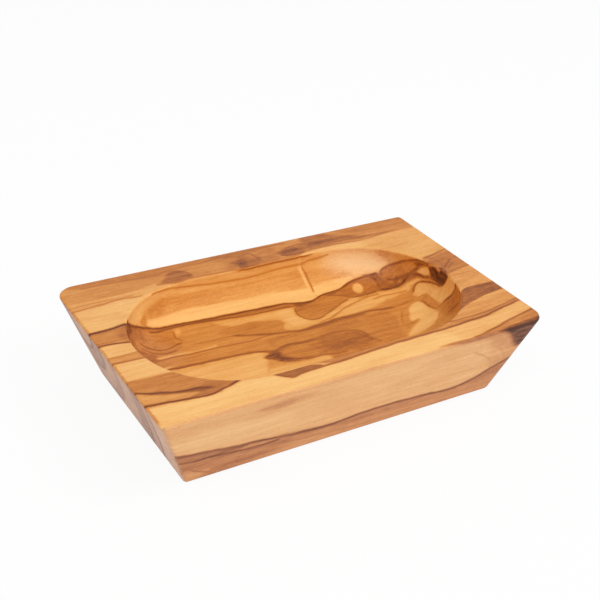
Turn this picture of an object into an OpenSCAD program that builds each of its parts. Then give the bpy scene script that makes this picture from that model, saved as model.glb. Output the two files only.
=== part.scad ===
// Small dish carved from one block of olive wood.
// The block flares outwards from its base to its top face, and a long recess with round ends and
// coved walls is hollowed into the top. The origin is the middle of the base, +Z is up and +X runs
// along the length of the dish, with the grain.

/* [Block] */
// Length of the block over its top edge
top_length = 129.5; // [106:0.5:200]
// Width of the block over its top edge
top_width = 79.5; // [60:0.5:104]
// Height from the base to the top face
height = 27.5; // [18:0.5:60]
// How far each end leans in between the top edge and the base
end_inset = 10; // [0:0.5:24]
// How far each long side leans in between the top edge and the base
side_inset = 7.8; // [0:0.1:20]

/* [Rounding] */
// Radius, seen from above, of the two tight corners, the front left and the back right one
tight_corner_r = 1.5; // [1.5:0.5:14]
// Radius, seen from above, of the two softer corners at the top edge
top_corner_r = 6; // [2:0.5:14]
// Radius, seen from above, of the two softer corners at the base
base_corner_r = 4; // [2:0.5:14]
// Rounding of the outer edge of the top face
top_edge_r = 0.5; // [0.3:0.1:1.5]
// Rounding of the edge around the base
base_edge_r = 1.5; // [0.4:0.1:1.5]

/* [Recess] */
// Mean width of the flat rim beside the recess, along the long sides
side_rim = 10.75; // [7:0.25:18]
// Mean width of the flat rim beyond the recess, at the ends
end_rim = 10.25; // [7:0.25:20]
// How far the recess sits off the middle of the block, along its length
shift_along = -1; // [-2:0.5:2]
// How far the recess sits off the middle of the block, across its width
shift_across = -1; // [-2:0.5:2]
// Depth of the recess floor below the top face
recess_depth = 11; // [5:0.5:15]
// Radius of the hollow curve between the wall of the recess and its floor
cove_r = 10; // [2:0.5:20]
// Rounding of the rim where the wall of the recess meets the top face
rim_edge_r = 0.8; // [0.3:0.1:2]

/* [Hidden] */

// Facets of a full turn in the rounded block
corner_facets = 32;
// How far the recess cut runs on above the top face
cut_overrun = 1;

base_length = top_length - 2 * end_inset;
base_width = top_width - 2 * side_inset;

// The ends of the recess are half circles about two points on its middle line
recess_r = top_width / 2 - side_rim;
recess_half_straight = top_length / 2 - end_rim - recess_r;
floor_z = height - recess_depth;
wall_cove_r = min(cove_r, recess_depth - rim_edge_r, recess_r);

// Ring that rounds a corner both as seen from above and across its edge
module corner_ring(corner_r, edge_r) {
    rotate_extrude($fn = corner_facets)
        intersection() {
            translate([corner_r - edge_r, 0])
                circle(r = edge_r, $fn = corner_facets);
            translate([0, -edge_r])
                square([corner_r, 2 * edge_r]);
        }
}

// The four corner rings of one level, with their outer edges on a rectangle: two of them, on one
// diagonal, are tight and the other two softer
module corner_ring_set(length, width, soft_r, edge_r) {
    for (along = [-1, 1], across = [-1, 1]) {
        corner_r = along == across ? tight_corner_r : soft_r;
        translate([along * (length / 2 - corner_r), across * (width / 2 - corner_r), 0])
            corner_ring(corner_r, edge_r);
    }
}

// The flared block before it is hollowed
module blank() {
    hull() {
        translate([0, 0, height - top_edge_r])
            corner_ring_set(top_length, top_width, top_corner_r, top_edge_r);
        translate([0, 0, base_edge_r])
            corner_ring_set(base_length, base_width, base_corner_r, base_edge_r);
    }
}

// Half section of the recess: distance from its middle line against height
module recess_half_section() {
    cove_z = floor_z + wall_cove_r;
    cut_top = height + cut_overrun;
    translate([0, floor_z])
        square([recess_r - wall_cove_r, cut_top - floor_z]);
    intersection() {
        translate([recess_r - wall_cove_r, cove_z])
            circle(r = wall_cove_r);
        translate([recess_r - wall_cove_r, floor_z])
            square([wall_cove_r, wall_cove_r]);
    }
    translate([recess_r - wall_cove_r, cove_z])
        square([wall_cove_r, cut_top - cove_z]);
    difference() {
        translate([recess_r, height - rim_edge_r])
            square([rim_edge_r, rim_edge_r + cut_overrun]);
        translate([recess_r + rim_edge_r, height - rim_edge_r])
            circle(r = rim_edge_r);
    }
}

// The hollow: a straight middle and two half-round ends
module recess() {
    rotate([90, 0, 90])
        linear_extrude(2 * recess_half_straight, center = true) {
            recess_half_section();
            mirror([1, 0])
                recess_half_section();
        }
    for (along = [-1, 1])
        translate([along * recess_half_straight, 0, 0])
            rotate([0, 0, -90 * along])
                rotate_extrude(angle = 180)
                    recess_half_section();
}

module dish_body() {
    color("peru")
        difference() {
            blank();
            translate([shift_along, shift_across, 0])
                recess();
        }
}

dish_body();
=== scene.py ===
"""Looks of a small dish carved from one block of olive wood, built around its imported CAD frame."""
import math

import bpy
import numpy as np
from mathutils import Matrix, Vector
from mathutils.geometry import delaunay_2d_cdt


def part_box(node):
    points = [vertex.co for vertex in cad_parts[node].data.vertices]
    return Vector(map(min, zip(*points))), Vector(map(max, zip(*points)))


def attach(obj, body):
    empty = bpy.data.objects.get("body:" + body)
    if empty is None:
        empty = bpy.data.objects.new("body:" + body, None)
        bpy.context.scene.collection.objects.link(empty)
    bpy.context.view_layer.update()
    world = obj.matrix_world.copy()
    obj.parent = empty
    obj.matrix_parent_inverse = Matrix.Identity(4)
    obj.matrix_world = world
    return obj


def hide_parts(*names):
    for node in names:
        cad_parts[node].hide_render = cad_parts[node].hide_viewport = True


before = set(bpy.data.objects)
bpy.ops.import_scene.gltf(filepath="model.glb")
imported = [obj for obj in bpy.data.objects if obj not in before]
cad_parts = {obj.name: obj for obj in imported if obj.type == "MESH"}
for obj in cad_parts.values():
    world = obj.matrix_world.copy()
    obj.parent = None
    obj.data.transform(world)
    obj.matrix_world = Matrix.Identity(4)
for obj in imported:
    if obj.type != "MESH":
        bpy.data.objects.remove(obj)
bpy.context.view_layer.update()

MM = 0.001

# Keeps divisions away from zero
TINY = 1e-9

# Sizes of the dish in millimetres, the outer ones from the frame
box_low, box_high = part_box("dish_body")
TOP_LENGTH = (box_high[0] - box_low[0]) / MM
TOP_WIDTH = (box_high[1] - box_low[1]) / MM
HEIGHT = (box_high[2] - box_low[2]) / MM
END_INSET = 10.0
SIDE_INSET = 7.8
TIGHT_CORNER_R = 1.5
TOP_CORNER_R = 6.0
BASE_CORNER_R = 4.0
TOP_EDGE_R = 0.5
BASE_EDGE_R = 1.5
SIDE_RIM = 10.75
END_RIM = 10.25
SHIFT_ALONG = -1.0
SHIFT_ACROSS = -1.0
RECESS_DEPTH = 11.0
COVE_R = 10.0
RIM_EDGE_R = 0.8

RECESS_R = TOP_WIDTH / 2 - SIDE_RIM
RECESS_HALF_STRAIGHT = TOP_LENGTH / 2 - END_RIM - RECESS_R
FLOOR_Z = HEIGHT - RECESS_DEPTH

# Groove that the cutter left on the far wall, in millimetres, and how steeply it fades out towards the floor
MARK_X = 15.8
MARK_BOW = 1.5
MARK_HALF_WIDTH = 0.9
MARK_DEPTH = 0.35
MARK_FADE = 3.0

# Spacing of the mesh in millimetres and in degrees, closer for some degrees to each side of the corners
STRAIGHT_STEP = 0.45
ARC_STEP_DEG = 0.5
SOFT_CORNER_STEP_DEG = 0.4
SOFT_CORNER_SPREAD_DEG = 7.0
TIGHT_CORNER_STEP_DEG = 0.16
TIGHT_CORNER_SPREAD_DEG = 3.0
FLOOR_STEP = 0.7
BASE_STEP = 1.6

# In steps: gap beside a corner's rays; margin, rise and shift of the rows that fill the floor and the base
CORNER_GAP = 0.4
FILL_MARGIN = 0.6
ROW_RISE = 0.866
ROW_SHIFT = 0.25

# For Blender's triangulation: keep only the inside of the loop, and weld points nearer than this
INSIDE_ONLY = 1
WELD = 1e-5

# Rings of the mesh up the cove, over the rim, across the top face, round an outer edge and down the sides
COVE_STEPS = 26
RIM_STEPS = 6
LAND_STEPS = 44
EDGE_STEPS = 8
SIDE_STEPS = 30

# Ring from which the rim of the recess counts as top face
RIM_RING = COVE_STEPS + 1 + RIM_STEPS // 2


def is_tight(x, y):
    """Whether a place in plan lies towards one of the two tight corners, front left and back right."""
    return (x < 0) == (y < 0)


def arc_turns(end):
    """Turns of the rays about one end of the recess, in degrees, closer together towards the two corners."""
    start_x, start_y = SHIFT_ALONG - end * RECESS_HALF_STRAIGHT, SHIFT_ACROSS
    turns = {90 * end + i * ARC_STEP_DEG for i in range(round(180 / ARC_STEP_DEG))}
    for side in (1, -1):
        x, y = -end * TOP_LENGTH / 2, side * TOP_WIDTH / 2
        middle = math.degrees(math.atan2(y - start_y, x - start_x))
        if middle < 90 * end:
            middle += 360
        step, spread = SOFT_CORNER_STEP_DEG, SOFT_CORNER_SPREAD_DEG
        if is_tight(x, y):
            step, spread = TIGHT_CORNER_STEP_DEG, TIGHT_CORNER_SPREAD_DEG
        count = round(spread / step)
        turns = {t for t in turns if abs(t - middle) > spread + CORNER_GAP * step}
        turns |= {middle + i * step for i in range(-count, count + 1)}
    return sorted(turns)


def stations():
    """Rays that run outwards from the middle line of the recess: (start, direction) in plan."""
    rays = []
    straight = round(2 * RECESS_HALF_STRAIGHT / STRAIGHT_STEP)
    for end in (1, -1):
        for i in range(straight):
            x = end * (RECESS_HALF_STRAIGHT - 2 * RECESS_HALF_STRAIGHT * i / straight)
            rays.append(((SHIFT_ALONG + x, SHIFT_ACROSS), (0.0, float(end))))
        for turn in arc_turns(end):
            start = (SHIFT_ALONG - end * RECESS_HALF_STRAIGHT, SHIFT_ACROSS)
            rays.append((start, (math.cos(math.radians(turn)), math.sin(math.radians(turn)))))
    return rays


def reach(start, direction, half_x, half_y, tight_r, soft_r):
    """Distance along a ray to a rectangle with rounded corners about the origin."""
    t = math.inf
    for s, d, half in zip(start, direction, (half_x, half_y)):
        if abs(d) > TINY:
            t = min(t, (math.copysign(half, d) - s) / d)
    place = [s + t * d for s, d in zip(start, direction)]
    corner_r = tight_r if is_tight(*place) else soft_r
    corner = []
    for s, p, half in zip(start, place, (half_x, half_y)):
        if abs(p) > half - corner_r:
            corner.append(math.copysign(half - corner_r, p) - s)
    if len(corner) == 2:
        along = corner[0] * direction[0] + corner[1] * direction[1]
        off2 = corner[0] ** 2 + corner[1] ** 2 - along ** 2
        t = along + math.sqrt(max(corner_r ** 2 - off2, 0.0))
    return t


def recess_profile():
    """(distance from the middle line, height, direction into the wood) from the floor to the top face."""
    points = []
    for i in range(COVE_STEPS + 1):
        turn = math.radians(90 * i / COVE_STEPS)
        out, down = math.sin(turn), math.cos(turn)
        points.append((RECESS_R - COVE_R + COVE_R * out, FLOOR_Z + COVE_R * (1 - down), (out, -down)))
    for i in range(RIM_STEPS + 1):
        turn = math.radians(90 * i / RIM_STEPS)
        out, up = 1 - math.cos(turn), 1 - math.sin(turn)
        points.append((RECESS_R + RIM_EDGE_R * out, HEIGHT - RIM_EDGE_R * up, (up, 0.0)))
    return points


def rounded_edge(outline, radius, middle_z, turn_from, turn_to):
    """(half length, half width, tight and soft corner radius, height) round an outline's soft edge."""
    rows = []
    for i in range(EDGE_STEPS + 1):
        turn = turn_from + (turn_to - turn_from) * i / EDGE_STEPS
        inset = radius * (1 - math.cos(turn))
        rows.append((*(size - inset for size in outline), middle_z + radius * math.sin(turn)))
    return rows


def outer_outlines():
    """Outlines of the block, as rounded_edge gives them, from the top face down to the base."""
    lean = math.atan((END_INSET + SIDE_INSET) / 2 / HEIGHT)
    half_x, half_y = TOP_LENGTH / 2, TOP_WIDTH / 2
    top = (half_x, half_y, TIGHT_CORNER_R, TOP_CORNER_R)
    base = (half_x - END_INSET, half_y - SIDE_INSET, TIGHT_CORNER_R, BASE_CORNER_R)
    upper = rounded_edge(top, TOP_EDGE_R, HEIGHT - TOP_EDGE_R, math.pi / 2, -lean)
    lower = rounded_edge(base, BASE_EDGE_R, BASE_EDGE_R, -lean, -math.pi / 2)
    between = []
    for i in range(1, SIDE_STEPS):
        between.append(tuple(a + (b - a) * i / SIDE_STEPS for a, b in zip(upper[-1], lower[0])))
    return upper + between + lower


def crossings(loop, y):
    """Where a loop of plan points crosses a line of constant y."""
    found = []
    for (x0, y0), (x1, y1) in zip(loop, loop[1:] + loop[:1]):
        if (y0 <= y) != (y1 <= y):
            found.append(x0 + (x1 - x0) * (y - y0) / (y1 - y0))
    return found


def fill_level(loop, step):
    """Plan points and triangles that fill a loop, and which given point each of them comes from."""
    ys = [p[1] for p in loop]
    low_y, high_y = min(ys), max(ys)
    count = len(loop)
    margin = FILL_MARGIN * step
    points = [Vector(p) for p in loop]
    rows = int((high_y - low_y) / (step * ROW_RISE))
    for row in range(rows + 1):
        y = low_y + (high_y - low_y) * (row + 0.5) / (rows + 1)
        across = crossings(loop, y)
        if len(across) < 2 or not low_y + margin < y < high_y - margin:
            continue
        low, high = min(across) + margin, max(across) - margin
        columns = int((high - low) / step)
        shift = ROW_SHIFT * step * (1 if row % 2 else -1)
        for column in range(columns + 1):
            x = (low + high) / 2 + (column - columns / 2) * step + shift
            if low < x < high:
                points.append(Vector((x, y)))
    edges = [(i, (i + 1) % count) for i in range(count)]
    made = delaunay_2d_cdt(points, edges, [], INSIDE_ONLY, WELD)
    return [(p.x, p.y) for p in made[0]], made[2], made[3]


def tool_mark(x, z):
    """Depth of the cutter's groove at one place on the far wall of the recess."""
    drop = (HEIGHT - z) / RECESS_DEPTH
    middle = MARK_X + MARK_BOW * math.sin(math.pi * drop)
    off = (x - middle) / MARK_HALF_WIDTH
    fade = min(1.0, MARK_FADE * (1 - drop))
    return MARK_DEPTH * fade * math.exp(-off * off)


def ring_at(rays, distances, z):
    """Points so far out along the rays, at one height."""
    return [(s[0] + t * d[0], s[1] + t * d[1], z) for (s, d), t in zip(rays, distances)]


def dish_skin():
    """Points and faces of the dish, the ring of each point, the first ring of the outlines, and these."""
    rays = stations()
    rings = []
    for r, z, into in recess_profile():
        ring = []
        for s, d in rays:
            mark = tool_mark(s[0], z) if d == (0.0, 1.0) else 0.0
            out = r + mark * into[0]
            ring.append((s[0] + out * d[0], s[1] + out * d[1], z + mark * into[1]))
        rings.append(ring)
    outlines = outer_outlines()
    rim_r = RECESS_R + RIM_EDGE_R
    edge = [reach(*ray, *outlines[0][:4]) for ray in rays]
    for i in range(1, LAND_STEPS):
        rings.append(ring_at(rays, [rim_r + (t - rim_r) * i / LAND_STEPS for t in edge], HEIGHT))
    first_outline = len(rings)
    for *outline, z in outlines:
        rings.append(ring_at(rays, [reach(*ray, *outline) for ray in rays], z))
    count = len(rays)
    points = [p for ring in rings for p in ring]
    ring_of = [r for r in range(len(rings)) for _ in rays]
    faces = []
    for r in range(len(rings) - 1):
        for i in range(count):
            j = (i + 1) % count
            faces.append((r * count + i, (r + 1) * count + i, (r + 1) * count + j, r * count + j))
    for ring_index, step, upward in ((0, FLOOR_STEP, True), (len(rings) - 1, BASE_STEP, False)):
        loop = [(p[0], p[1]) for p in rings[ring_index]]
        z = rings[ring_index][0][2]
        flat, triangles, origins = fill_level(loop, step)
        index = []
        for new, old in enumerate(origins):
            if old and old[0] < count:
                index.append(ring_index * count + old[0])
            else:
                index.append(len(points))
                points.append((flat[new][0], flat[new][1], z))
                ring_of.append(ring_index)
        for tri in triangles:
            a, b, c = (flat[i] for i in tri)
            area = (b[0] - a[0]) * (c[1] - a[1]) - (b[1] - a[1]) * (c[0] - a[0])
            corner = [index[i] for i in tri]
            faces.append(corner if (area > 0) == upward else corner[::-1])
    return np.array(points), faces, np.array(ring_of), first_outline, outlines


# Pith of the tree, about which the growth rings lie, and where the figure is read at the two ends
PITH_Y = 27.0
PITH_Z = 33.0
END_COLUMN = 63.0

# Rings on the ends, back and base: waves along the grain (height, run, start), levels (from, to, step)
# and the widths over which front turns into back and left end into right
RING_WAVES = ((1.4, 19, 0), (0.7, 8, 1))
RING_LEVELS = (-60.0, 90.0, 0.1)
BEHIND_BLEND_DEG = 40
END_BLEND = 100

# Steps of a curve from one of its points to the next
CURVE_STEPS = 5

# Growth line in half widths: reach to each side, core, and length over which it thins at its tips
LINE_REACH = 2.8
LINE_CORE = 2.0
LINE_TAPER = 4.0

# Reach and fall of a growth line where it runs on through the ends and the back
DRAWN_REACH = 3
DRAWN_FALL = 0.9

# Colour the wood loses on the front and on the ends (end grain with painted reflection and shade), gains in
# the recess
FRONT_GREY = 0.10
END_GREY_AND_SHEEN = 0.34
RECESS_DEEPER = 0.03

# Tone that the end grain tends to, dark wood with painted shade in it, and how far it keeps its stripes
END_GRAIN_AND_SHADE_TONE = 0.75
END_STRIPES = 0.48

# Darker top edge away from the front: its tone, and where it starts behind the front edge and over what run
# it comes in
EDGE_TONE = 0.38
DARK_EDGE_FROM = 1
DARK_EDGE_RUN = 3

# How much darker than the faces are the upper edge of the sides, a painted shade, and the upright corners
EDGE_PAINTED_SHADE = 0.13
CORNER_SHADE = 0.14

# Colours of the wood from pale to dark, by tone
SHADES = [
    (0.00, (0.94, 0.55, 0.20)),
    (0.15, (0.87, 0.46, 0.155)),
    (0.30, (0.78, 0.36, 0.10)),
    (0.42, (0.68, 0.275, 0.07)),
    (0.55, (0.58, 0.21, 0.048)),
    (0.68, (0.46, 0.15, 0.035)),
    (0.80, (0.33, 0.10, 0.026)),
    (0.90, (0.20, 0.056, 0.016)),
    (1.00, (0.085, 0.026, 0.01)),
]

# Noise in the wood: name, size along and across the grain in millimetres, detail, seed
GRAIN_NOISES = [
    ("cloud", 16, 5, 2, 3.1),
    ("streak", 26, 1.6, 2, 7.7),
    ("fibre", 14, 0.45, 3, 12.4),
    ("pore", 2.2, 0.16, 1, 21.9),
    ("fleck", 3.0, 0.9, 2, 41.7),
    ("grit", 0.9, 0.45, 0, 57.2),
    ("wander", 4.5, 2.4, 2, 33.3),
]
SEED_SPREAD = (1, 0.7, 1.3)

# Weight of the noises in the tone; that of the flecks grows with the tone
NOISE_WEIGHTS = [("cloud", 0.22), ("streak", 0.24), ("fibre", 0.28), ("pore", 0.14), ("grit", 0.12)]
FLECK_WEIGHT = 0.36

# Growth lines in the material: their two layers, and how far they fall off, wander and vary in tone
LINE_ATTRIBUTES = ("figure_line_a", "figure_line_b")
LINE_FALL = 0.75
LINE_WANDER = 1.8
LINE_STREAK = 0.3

# Oiled surface: roughness and how far fibres vary it, reflection, relief in millimetres, share of the pores
ROUGHNESS = 0.5
FIBRE_ROUGHNESS = 0.25
SPECULAR = 0.15
BUMP_STRENGTH = 0.35
BUMP_DEPTH = 0.2
PORE_BUMP = 0.6

# Tone of the bare ground on the top face and in the recess
GROUND_TONE = 0.17
RECESS_TONE = 0.46


def flip(curve):
    """The points of a curve in the other order."""
    return [value for i in range(len(curve) - 2, -1, -2) for value in curve[i:i + 2]]


# Outlines and lines below are rows of points in millimetres, each written along,across

# Growth lines that also bound patches of the top face, from left to right
BACK_EDGE = [-44,28.4, -36,29.6, -29,28.4, -24,29, -13,28.5, 0,27.6, 14,28.4, 20,29.8, 27.6,30.2, 34,29.9,
    40,29.4, 46,29.6, 55,31]
FRONT_RIM = [-28,-29, -26,-31.4, -24,-32.8, -22.6,-33.8, -20,-33.3, -16,-32.8, -8,-32.6, 0,-32.2, 10,-31.5,
    24,-31.2, 35,-31, 40,-30.7, 47.2,-30.2, 56,-28.4, 64.4,-26.8]
RIGHT_LOW = [34,-28.2, 41,-28.6, 48.5,-28.4, 57.2,-26.9, 65,-25.4]
RIGHT_BAND_TOP = [52.6,-13.5, 57.3,-13.1, 63.3,-13.4, 66,-13.4]
RIGHT_BAND_FOOT = [42,-24.5, 45.8,-22.8, 51.1,-21.2, 57.8,-19.6, 66,-19.3]
LEFT_WEDGE = [-61.4,-23.9, -57.9,-25.2, -52.9,-26.7, -48.4,-27.3, -44,-28.6]
RIGHT_STREAK = [36,-38.8, 40,-38.5, 44.1,-37.7, 49.1,-36.4, 54.3,-35.1, 62.5,-33.4]

# Soft patches of the top face around the recess: (tone, softness, outline)
LAND_PATCHES = [
    # rings beyond the back edge
    (0.24, 1, [-68,41, 68,41, 68,95, -68,95]),
    (0.52, 0.8, [-68,41, 68,41, 68,45, -68,46]),
    (0.44, 1, [-68,53, 68,54, 68,58, -68,59]),
    # pale strip along the front
    (0.06, 1.5, [-66,-31, -40,-30, 0,-32, 25,-31, 25,-41, -66,-41]),
    (0.23, 4, [40,-31, 66,-28, 66,-36, 45,-38]),
    # back strip
    (0.46, 0.8, [66,41, -66,41, -66,28.2] + BACK_EDGE + [66,32]),
    (0.3, 0.6, [-66,28, -50,28, -44,28, -36,29.4, -29,28.2, -38,25.6, -45,25.2, -56,24.8, -66,24.6]),
    (0.59, 0.5, [-62,39, -58.5,36.6, -48.5,36.2, -36.2,35.3, -31,35.7, -24.6,37, -16,38, -18,41, -64,41]),
    (0.5, 1.2, [-34,35, -20,35, -16,29, -20,28.4, -34,29.4]),
    (0.75, 0.7, [-31.6,32, -28.5,35.2, -25.3,35.4, -22.7,32.8, -22.7,29.6, -28.7,28.6, -33.4,29.7]),
    (0.57, 1.2, [-14,38, -9,33, -10,28, 8,28, 8,41, -14,41]),
    (0.64, 0.8, [-12,38.5, -10.7,37, -5,36, -1,36, 4,38, 4,41, -12,41]),
    (0.7, 0.7, [-6.7,32.8, -3.9,34.2, -1.1,35.3, 0.3,33.7, 2.4,34.5, 3.3,31.8, 1.4,28.8, -1,27.6, -4.4,27.6,
        -6.4,28.4]),
    (0.8, 0.5, [-4.9,33.2, -2.5,33.9, -1.8,32.3, -2.8,30, -3.5,28, -5.8,28, -5.6,30.4]),
    (0.7, 0.6, [9.8,33.2, 12.6,33.9, 15.6,34.9, 18.2,34.6, 23.4,35.5, 21.6,31.6, 17.5,30.1, 13.9,29.3,
        11.2,30]),
    (0.8, 0.5, [11.2,32.4, 13.7,34, 16.2,34.2, 18,33.4, 16.1,31.2, 13.4,30.4, 11.2,30.9]),
    (0.68, 1, [21,31, 25,30.6, 36,31, 42,31.4, 40,34, 34,36.5, 31,41, 23,41, 21.5,36]),
    (0.56, 0.8, [40,36, 47,34.4, 56,33, 66,32.6, 66,41, 36,41]),
    (0.74, 0.6, [23.4,35.2, 28.4,35.4, 32.1,34.8, 37.4,34.2, 42.8,32.6, 48.5,31.8, 66,32, 66,30.5, 56,30.3,
        48,30.2, 41,30.6, 35.3,31.6, 25,32.2, 21.7,32.8]),
    (0.82, 0.5, [23.3,34.4, 28.3,34.5, 31.9,34, 31,33.1, 26.5,32.8, 22.4,33]),
    # left end: pale with a honey streak, brown band, light brown band
    (0.27, 1.2, [-66,20.2, -58,19.6, -52,19, -53,17.4, -60,18, -66,18.6]),
    (0.52, 0.4, [-66,10.5, -58,10.9, -52,11.6, -49,5, -55,2.2, -60,3, -66,3.2]),
    (0.66, 1.2, [-57.4,4.4, -56.5,8.9, -53.4,10.8, -50,11.6, -49,5, -54,2.4, -56.4,3]),
    (0.82, 0.7, [-53.4,11.2, -50,11.8, -50,7, -53.4,7.4]),
    (0.41, 0.4, [-66,-3.4, -60,-3.5, -55.5,-3.4, -52,-1, -50,-5, -55,-7.2, -60,-7.2, -66,-7]),
    # left front: brown band, honey, wedge
    (0.54, 0.6, [-66,-16.8, -59,-16.9, -52,-17, -49,-18.5, -45,-23, -38,-27.5, -37,-28.7, -45,-28,
        -55,-25.5, -61,-23.8, -66,-22.2]),
    (0.36, 0.4, [-66,-22.6] + LEFT_WEDGE + [-47,-30.6, -55,-30.2, -66,-29.2]),
    (0.62, 0.5, [-50,-27, -46,-26, -42,-26.5, -36.5,-28.6, -41,-29.6, -47,-31, -53,-30.6, -49,-29]),
    (0.77, 0.4, LEFT_WEDGE + [-42.3,-29, -46.3,-29.2, -52.8,-27.7, -59.2,-25.7]),
    # front land, middle
    (0.75, 0.4, FRONT_RIM[:12] + [-12,-32.2, -16,-30.2, -26,-28]),
    (0.55, 0.5, FRONT_RIM[12:20] + [27,-29.5, -12,-29]),
    (0.45, 0.5, FRONT_RIM[18:26] + [44,-29.8, 38,-29, 27,-29.5]),
    (0.52, 0.4, RIGHT_LOW + flip(FRONT_RIM[22:])),
    # right end
    (0.29, 3, [40,27, 50,30, 66,30, 66,11, 53,10, 48,16]),
    (0.62, 0.5, [52.4,8.6, 58,10.1, 63.7,11.6, 66,12, 66,-0.8, 58.1,-1.8, 53.4,-3.2]),
    (0.48, 0.4, [52.6,8.4, 59.3,10.8, 62.5,11.5, 66,11.8, 66,10.6, 57,8.6, 52.9,7.1]),
    (0.85, 0.4, [53,1.4, 54.6,0.8, 55,-0.2, 54.4,-2.2, 53.6,-4, 52.6,-3]),
    (0.36, 0.5, [51,-12, 53.2,-3.4, 58.1,-2, 66,-1] + flip(RIGHT_BAND_TOP)),
    (0.43, 0.7, [53,-9, 57,-7.2, 66,-6.4, 66,-8, 58,-9.4, 52.6,-12]),
    (0.78, 0.4, RIGHT_BAND_TOP + flip(RIGHT_BAND_FOOT) + [46,-19, 49.5,-15.6]),
    (0.82, 0.5, [46.3,-21, 53.1,-18.5, 59.9,-16.9, 66,-17.4] + flip(RIGHT_BAND_FOOT)),
    (0.37, 0.5, RIGHT_BAND_FOOT + flip(RIGHT_LOW)),
    # front right corner: orange streak and dark wedge
    (0.52, 0.4, [23.5,-38.8, 30.3,-38.4] + RIGHT_STREAK + [66,-33, 66,-37, 58,-37.2, 50.5,-38, 45.8,-39.2,
        34.9,-39.7, 28.4,-39.5]),
    (0.6, 0.6, [55,-36.8, 58,-35.6, 61.4,-34.8, 66,-34.4, 66,-37.6, 62,-38.2, 57.4,-38.4]),
    (0.84, 0.4, [48,-38.8, 51,-38, 60.1,-37.6, 66,-37, 66,-41.5, 46,-41.5, 45.5,-39.8]),
]

# Growth lines that also bound patches of the recess, from left to right
AMBER_EDGE = [-40.7,23, -38,23.5, -35,24.2, -31.6,24.8, -25.8,25.4, -19,24.9, -13.7,24.7, -4.8,24.2,
    2.7,24.1, 8,23.5, 17,22.8]
SECOND_LEFT = [-59,14, -57.3,15.5, -54.6,17, -51.6,18.1, -47.6,19.2, -43.5,19.5]
SECOND_MIDDLE = [-37.6,20, -33.2,20.6, -28.6,20.5, -22.8,20.2, -15,19.8, -8,19.4, 0,18.9, 5,18.6, 9,17.4,
    12,16.5, 14.4,16.4, 17,17.4]
SECOND_RIGHT = [20.8,18.5, 24,18.7, 27.5,19.2, 30.8,20.5, 33.4,20.9, 36.2,20.9, 40.5,20, 43,19.2]
LENS_EDGE = [7.3,15.2, 5.8,11.8, 6.1,8.8, 8,6.3, 10.3,5.8, 13.5,6.8, 18,8.9, 23.4,11.4, 26.4,12.3]
SWIRL_EDGE = [19.8,17.4, 22.1,16.8, 25,15.6, 27.1,13.5, 30,12.5, 34,12.5, 38.6,13]
SWIRL_FOOT = [38.6,13.4, 41.8,12, 43.5,11.5, 45.8,10.8, 48,11.4, 50,11.4, 52.6,9.6, 53.6,7.4, 54.6,5]
ARCH_TOP = [43.4,17, 43.5,19.2, 46,19.6, 49,18.5, 52,16.8, 55,14.4, 57.6,11.2, 59.2,7]
ARCH_FOOT = [43.5,16.8, 44.2,15.2, 46.2,13.9, 48.9,12.8, 51.8,11.6, 53.6,11, 55.4,9.6]
LOW_LINE = [-47,-0.4, -39.8,-1.3, -33.6,-1.7, -27.1,-2, -22.4,-2.5, -17.5,-3.1]
BLOTCH_TOP = [-13.9,-4.6, -11.6,-5, -9.2,-4.5, -5.7,-3.8, -2,-4.3, 1.2,-4.4, 4.4,-3.9]
BLOTCH_RIGHT = [8.2,-3.7, 12.6,-3.8, 17,-5.1, 19.2,-7.5, 19.3,-10.2]
GOLD_TOP = [47,4.6, 47.8,5.6, 49.2,6.8, 50.8,7.1, 52.4,6, 53.8,3.2, 54.7,0.1, 55,-2.4]
CRESCENT_EDGE = [59.4,-10.8, 56.8,-11.3, 54.8,-10.2, 52.6,-8.5, 50.4,-7.1]

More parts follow.
